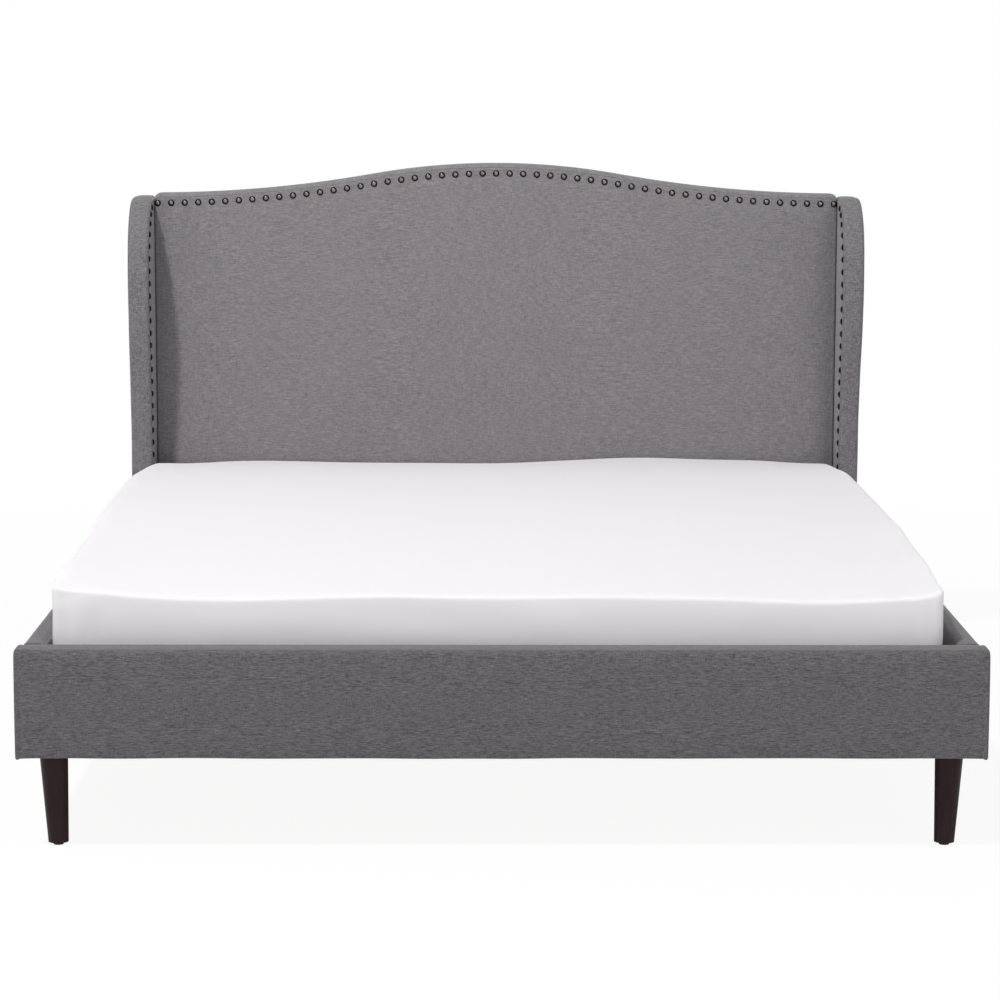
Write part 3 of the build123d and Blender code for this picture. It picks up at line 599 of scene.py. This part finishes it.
def wing_line():
    """The wing's front line seen from the side, from its foot up, over the nose and to the back."""
    line = [(foot_front, z) for z in spread(wing_bottom, hollow_height, 12)]
    for angle in spread(0, bend, 12)[1:]:
        place = hollow_centre + hollow_arc * math.cos(angle)
        line.append((place, hollow_height + hollow_arc * math.sin(angle)))
    for angle in spread(bend, 0, 10)[1:]:
        place = swell_centre - swell_arc * math.cos(angle)
        line.append((place, full_height - swell_arc * math.sin(angle)))
    for angle in spread(0, math.pi / 2, 15)[1:]:
        reach = (nose_start - full_front) * math.cos(angle)
        line.append((nose_start - reach, full_height + (wing_top - full_height) * math.sin(angle)))
    return line + [(y, wing_top) for y in spread(nose_start, wing_back, 6)[1:]]


def inward_turns(line):
    """The direction into the wing's body at each point of its front line."""
    turns = []
    for before, after in zip(line[:1] + line[:-1], line[1:] + line[-1:]):
        along = Vector((after[0] - before[0], after[1] - before[1])).normalized()
        turns.append(Vector((along.y, -along.x)))
    turns[-1] = Vector((0, -1))
    return turns


wing_front_line = wing_line()
wing_turns = inward_turns(wing_front_line)

# Each step from the flat face to the front strip: depth behind the face, and distance in from the
# front line. The seam's shallow groove comes first, then the rounded rim.
rim_radius = 0.0095
rim_start = 0.2
face_steps = [(0, 0.030), (0, 0.018), (0, 0.0142), (0.0012, 0.0126), (0, 0.0110)]
for angle in spread(rim_start, math.pi / 2, 6):
    face_steps.append((rim_radius * (1 - math.cos(angle)), rim_radius * (1 - math.sin(angle))))
face_steps.append((0.0180, -0.0006))
back_shares = [0, 0.003, 0.010, 0.10, 0.30, 0.50, 0.70, 0.88]
back_drop = 0.045
slim_right_foot = 0.0042
slim_below = 0.86
slim_over = 0.30
pad_width = 0.09
pad_depth = 0.0006
even_foot = 0.02
even_back = 0.01
for side, across in (("left", -1), ("right", 1)):
    wing_low, wing_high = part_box(side + "_wing_cover")
    outer_x = wing_low.x if across < 0 else wing_high.x
    inner_x = wing_high.x if across < 0 else wing_low.x
    back_heights = spread(wing_bottom, wing_top - back_drop, len(wing_front_line))
    wing_loops = []
    for (y, z), inward, back_z in zip(wing_front_line, wing_turns, back_heights):
        rim = [(off, Vector((y, z)) + inward * inset) for off, inset in face_steps]
        back_point = Vector((wing_back, back_z))
        face = [(0, back_point.lerp(rim[0][1], share)) for share in back_shares]
        inner_side = [Vector((inner_x + across * off, p.x, p.y)) for off, p in face + rim]
        slimmer = slim_right_foot * max(0, across) * min(1, max(0, (slim_below - z) / slim_over))
        outer_side = [Vector((outer_x - across * (off + slimmer), p.x, p.y)) for off, p in face + rim]
        wing_loops.append(inner_side + outer_side[::-1])
    wing = piece_from(side + "_wing_upholstery", lofted(wing_loops, 0), wing_fabric)
    subdivided(wing, 2)
    pad_from = Vector((across, 2.3, 0))
    outward = [vertex.normal.copy() for vertex in wing.data.vertices]
    for vertex, normal in zip(wing.data.vertices, outward):
        if wing_bottom + even_foot < vertex.co.z and vertex.co.y < wing_back - even_back:
            pad = noise.noise(vertex.co / pad_width + pad_from)
            vertex.co += normal * pad * pad_depth
    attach(wing, "bed_frame")
    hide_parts(side + "_wing_cover", side + "_wing_foam")


# Back cloth
# A thin black nonwoven over the headboard's open back, cut to the camel line. A row of steel wire
# staples near its edge holds it to the timber.
def speckled(name, roughness, grain, detail, first, second):
    """A material speckled with two colours, its shader and the speckle itself."""
    material, shader, place = new_material(name, roughness)
    speckle = streaks(place, grain, detail)
    blend_colours(speckle, first, second).into(shader, "Base Color")
    return material, shader, speckle


back_cloth_black, back_shader, fibre = speckled(
    "back_cloth_nonwoven", roughness=0.95, grain=(0.003, 0.003, 0.003), detail=4.0,
    first=(0.012, 0.012, 0.013, 1), second=(0.045, 0.045, 0.048, 1),
)
emboss(back_shader, fibre, strength=0.4, depth=0.0005)
cloth_low, cloth_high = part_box("headboard_back_cloth")
cloth_turn = 0.0305
cloth_y = 1.0801
ripple_depth = 0.0004
ripple_width = 0.12
ripple_rows = 8
cloth_cage = bmesh.new()
cloth_rows = []
for s in spread(0, 1, 40):
    cloth_rows.append([
        cloth_cage.verts.new((
            x,
            cloth_y + ripple_depth * noise.noise(Vector((x / ripple_width, 0, s * ripple_rows))),
            cloth_low.z + s * (camel_height(x) - cloth_turn - cloth_low.z),
        ))
        for x in spread(cloth_low.x, cloth_high.x, 70)
    ])
for lower, upper in zip(cloth_rows, cloth_rows[1:]):
    for j in range(len(lower) - 1):
        cloth_cage.faces.new((lower[j], lower[j + 1], upper[j + 1], upper[j]))
bmesh.ops.reverse_faces(cloth_cage, faces=cloth_cage.faces)
cloth_area = sum(face.calc_area() for face in cloth_cage.faces)
back_cloth = piece_from("headboard_back_lining", cloth_cage, back_cloth_black)
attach(back_cloth, "bed_frame")
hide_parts("headboard_back_cloth")

staple_crown = 0.0115
staple_wire = 0.0006
staple_inset = 0.008
staple_row_half = 0.76
staple_column_top = 1.0
staple_column_foot = 0.05
lean_on_top = 0.2
lean_spread = 0.12
lean_steps = (31, 17)

# A staple's wire from leg to leg: the share of its crown's length, and the height over the cloth.
staple_line = [(-0.5, -0.0012), (-0.5, 0.0003), (-0.44, 0.0007)]
staple_line += [(0.44, 0.0007), (0.5, 0.0003), (0.5, -0.0012)]
staple_places = []
for x in spread(-staple_row_half, staple_row_half, 32):
    staple_places.append((x, camel_height(x) - cloth_turn - staple_inset, lean_on_top))
for x in spread(-staple_row_half, staple_row_half, 26):
    staple_places.append((x, cloth_low.z + staple_inset, 0))
for edge_x in (cloth_low.x + staple_inset, cloth_high.x - staple_inset):
    for z in spread(cloth_low.z + staple_column_foot, staple_column_top, 15):
        staple_places.append((edge_x, z, math.pi / 2))
staples_cage = bmesh.new()
for x, z, lean in staple_places:
    lean += lean_spread * noise.noise(Vector((x * lean_steps[0], z * lean_steps[1], 0)))
    along = Vector((math.cos(lean), 0, math.sin(lean)))
    across_wire = Vector((-math.sin(lean), 0, math.cos(lean)))
    rings = []
    for share, lift in staple_line:
        centre = Vector((x, cloth_y + lift, z)) + along * share * staple_crown
        corners = [across_wire + Vector((0, 1, 0)), across_wire * -1 + Vector((0, 1, 0))]
        corners += [-corner for corner in corners]
        rings.append([staples_cage.verts.new(centre + corner * staple_wire / 2) for corner in corners])
    for ring, following in zip(rings, rings[1:]):
        for k in range(4):
            m = (k + 1) % 4
            staples_cage.faces.new((ring[k], ring[m], following[m], following[k]))
    staples_cage.faces.new(rings[0])
    staples_cage.faces.new(rings[-1])
bmesh.ops.recalc_face_normals(staples_cage, faces=staples_cage.faces)
staple_steel, staple_shader, _ = speckled(
    "staple_wire", roughness=0.35, grain=(0.001, 0.001, 0.001), detail=1.0,
    first=(0.45, 0.45, 0.46, 1), second=(0.66, 0.66, 0.67, 1),
)
staple_shader.inputs["Metallic"].default_value = 1.0
staples = piece_from("back_lining_staples", staples_cage, staple_steel)
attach(staples, "bed_frame")


# Mattress and fitted sheet
# A foam mattress in a knitted ticking, and over it a white cotton sheet whose elastic hem turns in
# below it. The sheet is taut on top, falls over a crisp front edge and is full at the corners.
mattress_low, mattress_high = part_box("mattress")
sheet_low, sheet_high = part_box("fitted_sheet")
long_crown = 0.042
left_fall = 0.0
right_fall = 0.004
front_corner = 0.014
rear_corner = 0.080
side_edge = 0.008
front_edge = 0.007
side_bulge = 0.004

# Each lump along an edge of the sheet: its place, its height and its width.
front_bumps = (
    (-0.745, 0.0065, 0.07), (-0.50, -0.0045, 0.11), (-0.21, 0.0030, 0.11), (0.17, 0.0020, 0.11),
    (0.58, -0.0085, 0.15), (-0.800, 0.0070, 0.016), (0.795, 0.0110, 0.020),
)
rear_bumps = (
    (-0.77, -0.013, 0.11), (-0.48, 0.001, 0.10), (-0.25, -0.009, 0.35), (0, -0.005, 0.13),
    (0.34, 0.006, 0.13), (0.76, -0.009, 0.10),
)
left_bumps = ((-0.46, -0.005, 0.11), (-0.86, 0.014, 0.15), (-0.20, 0.008, 0.75), (0.32, 0.004, 0.22))
right_bumps = ((-0.45, 0.010, 0.20), (-0.76, 0.013, 0.14), (-0.97, 0.003, 0.06), (0.48, 0.005, 0.15))


def bumps_at(x, bumps):
    """The sum of smooth bumps along the sheet's edge."""
    return sum(height * math.exp(-((x - place) / width) ** 2) for place, height, width in bumps)


def edge_spread(low, high, count):
    """Numbers from low to high, close together at both ends."""
    near = (0, 0.003, 0.008, 0.015, 0.026, 0.042)
    even_in = 0.062
    middle = spread(low + even_in, high - even_in, count)
    return [low + step for step in near] + middle + [high - step for step in near[::-1]]


def closed_grid(front, back):
    """A mesh between two like grids of points, closed round its rim."""
    cage = bmesh.new()
    rows = len(front)
    columns = len(front[0])
    near = [[cage.verts.new(point) for point in row] for row in front]
    far = [[cage.verts.new(point) for point in row] for row in back]
    for i in range(rows - 1):
        for j in range(columns - 1):
            cage.faces.new((near[i][j], near[i][j + 1], near[i + 1][j + 1], near[i + 1][j]))
            cage.faces.new((far[i][j], far[i + 1][j], far[i + 1][j + 1], far[i][j + 1]))
    rim = [(0, j) for j in range(columns)] + [(i, columns - 1) for i in range(1, rows)]
    rim += [(rows - 1, j) for j in range(columns - 2, -1, -1)] + [(i, 0) for i in range(rows - 2, 0, -1)]
    for (i, j), (k, m) in zip(rim, rim[1:] + rim[:1]):
        cage.faces.new((near[i][j], far[i][j], far[k][m], near[k][m]))
    bmesh.ops.recalc_face_normals(cage, faces=cage.faces)
    return cage


def corner_turn(x, y, half):
    """Rounds an upright corner: a point's place, its distance from the side and the way out."""
    corner = front_corner if y < 0 else rear_corner
    past_x = abs(x) - (half.x - corner)
    past_y = abs(y) - (half.y - corner)
    if past_x > 0 and past_y > 0:
        reach = max(past_x, past_y)
        squeeze = reach / math.hypot(past_x, past_y)
        out = Vector((past_x * squeeze, past_y * squeeze))
        x = math.copysign(half.x - corner + out.x, x)
        y = math.copysign(half.y - corner + out.y, y)
        from_edge = corner - reach
    else:
        from_edge = min(half.x - abs(x), half.y - abs(y))
        out = Vector((1, 0)) if half.x - abs(x) < half.y - abs(y) else Vector((0, 1))
    out = Vector((math.copysign(out.x, x), math.copysign(out.y, y))).normalized()
    return x, y, from_edge, out


def edge_turn(flat, from_edge, depth, radius):
    """A point's distance in from the side and from the face, once the edge between them is round."""
    halfway = 45
    if flat and from_edge < radius:
        angle = math.radians(halfway + halfway * from_edge / radius)
    elif not flat and depth < radius:
        angle = math.radians(halfway * (1 - depth / radius))
    elif flat:
        return from_edge, 0
    else:
        return 0, depth
    return radius * (1 - math.cos(angle)), radius * (1 - math.sin(angle))


def crown_lift(x, y, middle, half):
    """How far the top stands over its highest level at a place: the lumps, less the crown's fall."""
    u = x / half.x
    v = y / half.y
    side_fall = left_fall if u < 0 else right_fall
    end_power = 8
    drop = long_crown * v * v + side_fall * u * u * (1 - v**end_power)
    front_reach = 0.10
    rear_reach = 0.14
    side_reach = 0.12
    lift = bumps_at(x + middle.x, front_bumps) * math.exp(-(y + half.y) / front_reach)
    lift += bumps_at(x + middle.x, rear_bumps) * math.exp(-(half.y - y) / rear_reach)
    lift += bumps_at(y + middle.y, left_bumps) * math.exp(-(x + half.x) / side_reach)
    lift += bumps_at(y + middle.y, right_bumps) * math.exp(-(half.x - x) / side_reach)
    return lift - drop


def mattress_form(low, high):
    """A mattress's outer form: crowned above, bellied at its sides and rounded at edges and corners."""
    middle = (low + high) / 2
    half = (high - low) / 2
    height = high.z - low.z
    xs = edge_spread(low.x, high.x, 64)
    ys = edge_spread(low.y, high.y, 80)
    top = [[Vector((x, y, high.z)) for x in xs] for y in ys]
    bottom = [[Vector((x, y, low.z)) for x in xs] for y in ys]
    cage = closed_grid(top, bottom)
    upright = [edge for edge in cage.edges if abs(edge.verts[0].co.z - edge.verts[1].co.z) > half.z]
    bmesh.ops.subdivide_edges(cage, edges=upright, cuts=13, use_grid_fill=True)
    touching = 0.0001
    for vertex in cage.verts:
        share = (vertex.co.z - low.z) / height
        flat = min(share, 1 - share) < touching
        share = 0.5 - 0.5 * math.cos(math.pi * share)
        x, y, from_edge, out = corner_turn(vertex.co.x - middle.x, vertex.co.y - middle.y, half)
        frontal = max(0, -out.y) ** 2 if vertex.co.z > middle.z else 0
        radius = side_edge + (front_edge - side_edge) * frontal
        inset, fall = edge_turn(flat, from_edge, min(share, 1 - share) * height, radius)
        shift = inset - (from_edge if flat else 0)
        pull = 1 - side_bulge * max(0, 1 - 2 * share) ** 2 / half.x
        x = (x - out.x * shift) * pull
        y = (y - out.y * shift) * pull
        z = high.z - fall if share > 0.5 else low.z + fall
        z += crown_lift(x, y, middle, half) * max(0, (z - low.z) / height)
        vertex.co = Vector((middle.x + x, middle.y + y, z))
    return cage


ticking, ticking_shader, knit = speckled(
    "mattress_ticking", roughness=0.85, grain=(0.002, 0.002, 0.002), detail=3.0,
    first=(0.62, 0.62, 0.60, 1), second=(0.78, 0.78, 0.76, 1),
)
emboss(ticking_shader, knit, strength=0.4, depth=0.001)
sheet_room = Vector((0.0050, 0.0030, 0.0015))
mattress_cage = mattress_form(mattress_low + sheet_room, mattress_high - sheet_room)
mattress = piece_from("mattress_body", mattress_cage, ticking)
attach(mattress, "mattress")
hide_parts("mattress")

cotton, cotton_shader, percale = speckled(
    "sheet_cotton_percale", roughness=0.85, grain=(0.0012, 0.0012, 0.0012), detail=2.0,
    first=(0.775, 0.755, 0.775, 1), second=(0.815, 0.795, 0.815, 1),
)
emboss(cotton_shader, percale, strength=0.25, depth=0.0003)
cotton_shader.inputs["Specular IOR Level"].default_value = 0.2
light_reach = 0.045
cotton_shader.inputs["Subsurface Weight"].default_value = 0.4
cotton_shader.inputs["Subsurface Scale"].default_value = light_reach
cotton_shader.inputs["Subsurface Radius"].default_value = (1, 1, 1)
left_fullness = Vector((0.005, 0, 0))
right_tuck = Vector((0.0035, 0, 0))
sheet_cage = mattress_form(sheet_low - left_fullness, sheet_high - right_tuck)
hem = 0.045
hem_level = 0.002
inside_hem = []
for face in sheet_cage.faces:
    place = face.calc_center_median()
    inside_x = sheet_low.x + hem < place.x < sheet_high.x - hem
    inside_y = sheet_low.y + hem < place.y < sheet_high.y - hem
    if place.z < sheet_low.z + hem_level and inside_x and inside_y:
        inside_hem.append(face)
bmesh.ops.delete(sheet_cage, geom=inside_hem, context="FACES")
fitted_sheet = piece_from("fitted_cotton_sheet", sheet_cage, cotton)
sheet_middle = (sheet_low + sheet_high) / 2


def corner_distance(point):
    """How far a point of the sheet is from the nearest of its four upright corners."""
    along_x = max(0, sheet_high.x - sheet_middle.x - abs(point.x - sheet_middle.x))
    along_y = max(0, sheet_high.y - sheet_middle.y - abs(point.y - sheet_middle.y))
    return along_x + along_y


# Soft upright folds fan out from each corner, and fade along the sides.
fold_width = 0.062
fold_slant = 0.06
fold_sway = 0.02
fold_depth = 0.0028
fold_reach = 0.11
fold_start = 0.03
sway_width = 0.11
sway_from = Vector((0.7, 0, 3.1))
soft_depth = 0.0016
soft_width = 0.16
soft_height = 0.05
outward = [vertex.normal.copy() for vertex in fitted_sheet.data.vertices]
for vertex, normal in zip(fitted_sheet.data.vertices, outward):
    share = (vertex.co.z - sheet_low.z) / (sheet_high.z - sheet_low.z)
    upright = math.sqrt(max(0, 1 - normal.z**2))
    away = corner_distance(vertex.co)
    swirl = noise.noise(vertex.co / sway_width + sway_from)
    fold = math.sin(2 * math.pi * (away - fold_slant * share + fold_sway * swirl) / fold_width)
    depth = fold_depth * math.exp(-away / fold_reach) * min(1, away / fold_start) * upright
    grid = (vertex.co.x / soft_width, vertex.co.y / soft_width, vertex.co.z / soft_height)
    vertex.co += normal * (fold * depth + noise.noise(Vector(grid)) * soft_depth * upright)
held_hem = fitted_sheet.vertex_groups.new(name="hem")
taut = fitted_sheet.vertex_groups.new(name="taut")
held_height = 0.004
slack_reach = 0.25
for vertex in fitted_sheet.data.vertices:
    if vertex.co.z < sheet_low.z + held_height:
        held_hem.add([vertex.index], 1.0, "REPLACE")
    taut.add([vertex.index], 1 - math.exp(-corner_distance(vertex.co) / slack_reach), "REPLACE")
touch = mattress.modifiers.new("touch", "COLLISION")
mattress.collision.thickness_outer = 0.001
cloth = fitted_sheet.modifiers.new("cloth", "CLOTH")
cloth.settings.vertex_group_mass = held_hem.name
cloth.settings.vertex_group_shrink = taut.name
cloth.settings.shrink_min = -0.012
cloth.settings.shrink_max = 0.0
cloth.settings.bending_stiffness = 0.3
cloth.collision_settings.distance_min = 0.001
run_cloth(fitted_sheet, most=0.006, frames=24)
mattress.modifiers.remove(touch)
subdivided(mattress, 1)
subdivided(fitted_sheet, 1)
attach(fitted_sheet, "mattress")
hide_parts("fitted_sheet")


# Timber and plywood
# Planed pine for the cores, the headboard's frame, the ledges and the beam, and poplar plywood for
# the wing boards. All of it is hidden or seen only from below.
def grained_wood(name, along, pale, deep, roughness):
    """Wood with its grain along one axis."""
    material, shader, place = new_material(name, roughness)
    growth = streaks(place, lengthwise(along, length=0.35, width=0.011), detail=3.0)
    pores = streaks(place, lengthwise(along, length=0.03, width=0.0009), detail=2.0)
    middle = 0.5
    growth_share = 1.8
    pore_share = 0.7
    tones = (growth - middle) * growth_share + (pores - middle) * pore_share
    blend_colours((tones + middle).clamped(), pale, deep).into(shader, "Base Color")
    emboss(shader, pores, strength=0.3, depth=0.0006)
    return material


def dress(material, *names):
    """Gives CAD pieces their finish."""
    for name in names:
        for material_slot in nodes[name].material_slots:
            material_slot.material = material


pine_pale = (0.62, 0.45, 0.27, 1)
pine_deep = (0.45, 0.28, 0.14, 1)
pine_x = grained_wood("pine_across", 0, pine_pale, pine_deep, 0.6)
pine_y = grained_wood("pine_lengthwise", 1, pine_pale, pine_deep, 0.6)
pine_z = grained_wood("pine_upright", 2, pine_pale, pine_deep, 0.6)
dress(pine_x, "footboard_core", "headboard_top_rail", "headboard_bottom_rail")
dress(pine_y, "left_rail_core", "right_rail_core", "left_slat_ledge", "right_slat_ledge", "centre_beam")
dress(pine_z, "left_headboard_stile", "right_headboard_stile", "headboard_mid_stile")
poplar_pale = (0.66, 0.52, 0.36, 1)
poplar_deep = (0.52, 0.37, 0.22, 1)
plywood = grained_wood("poplar_plywood", 2, poplar_pale, poplar_deep, 0.65)
dress(plywood, "headboard_face_board", "left_wing_board", "right_wing_board")


# Slats
# Bowed beech slats in two rows. Their ends sit in black plastic holders, moulded in one piece and
# fixed to the ledges and the beam.
beech_pale = (0.68, 0.50, 0.32, 1)
beech_deep = (0.52, 0.34, 0.19, 1)
beech = grained_wood("beech_slats", 0, beech_pale, beech_deep, 0.5)
dress(beech, "left_slats", "right_slats")
black_plastic, plastic_shader, mould = speckled(
    "black_moulded_plastic", roughness=0.45, grain=(0.0008, 0.0008, 0.0008), detail=2.0,
    first=(0.010, 0.010, 0.010, 1), second=(0.022, 0.022, 0.022, 1),
)
emboss(plastic_shader, mould, strength=0.2, depth=0.0003)
dress(black_plastic, "left_slat_holders", "right_slat_holders", "centre_slat_holders", "leg_glides")


# Legs
# Turned hardwood with an espresso stain under a satin lacquer. A bolt holds each leg to the frame,
# and it stands on a plastic glide.
espresso, espresso_shader, leg_grain = speckled(
    "espresso_lacquered_wood", roughness=0.42, grain=(0.004, 0.004, 0.12), detail=3.0,
    first=(0.010, 0.0045, 0.005, 1), second=(0.032, 0.014, 0.015, 1),
)
emboss(espresso_shader, leg_grain, strength=0.15, depth=0.0004)
espresso_shader.inputs["Specular IOR Level"].default_value = 0.14
dress(espresso, "front_left_leg", "front_right_leg", "rear_left_leg", "rear_right_leg")
dress(espresso, "centre_front_leg", "centre_rear_leg")


# Nails
# Domed upholstery nails in antique brass, driven through the fabric into the boards. The rim is nearly black,
# from tarnish together with painted contact shadow against the fabric, and the crown is rubbed brighter.
def antique_brass(name, axis):
    """Tarnished brass for domes that face along one axis, with painted contact shadow darkening the rim."""
    material, shader, place = new_material(name, 0.34)
    turned = Wire(place.tree, place.tree.nodes.new("ShaderNodeTexCoord").outputs["Normal"])
    parts = turned.node("SeparateXYZ", {}, {0: turned}, output=axis)
    crown = parts.maths("ABSOLUTE", parts, 0.0)
    tarnish = streaks(place, (0.004, 0.004, 0.004), detail=3.0)
    uneven = 0.25
    # The near-black first stop at the rim is tarnish plus painted contact shadow where the dome meets the
    # fabric.
    stops = [
        (0.76, (0.006, 0.005, 0.005, 1)),
        (0.88, (0.065, 0.060, 0.057, 1)),
        (0.98, (0.23, 0.21, 0.20, 1)),
    ]
    rim_tarnish_and_shade = crown.node("ValToRGB", {"stops": stops}, {0: crown + (tarnish - 0.5) * uneven})
    rim_tarnish_and_shade.into(shader, "Base Color")
    shader.inputs["Metallic"].default_value = 0.9
    return material


dress(antique_brass("antique_brass_on_panel", 1), "headboard_nails")
dress(antique_brass("antique_brass_on_wings", 0), "left_wing_nails", "right_wing_nails")


# Steel fittings
# Pressed and turned steel, zinc-plated: brackets, plates, bolts, inserts and screws. They join the
# boards from inside the frame.
zinc, zinc_shader, _ = speckled(
    "zinc_plated_steel", roughness=0.4, grain=(0.006, 0.006, 0.006), detail=3.0,
    first=(0.42, 0.43, 0.44, 1), second=(0.62, 0.63, 0.63, 1),
)
zinc_shader.inputs["Metallic"].default_value = 1.0
dress(zinc, "beam_brackets", "bracket_screws", "corner_brackets", "rail_joining_plates", "frame_bolts")
dress(zinc, "threaded_inserts", "ledge_screws", "leg_plates", "leg_bolts")
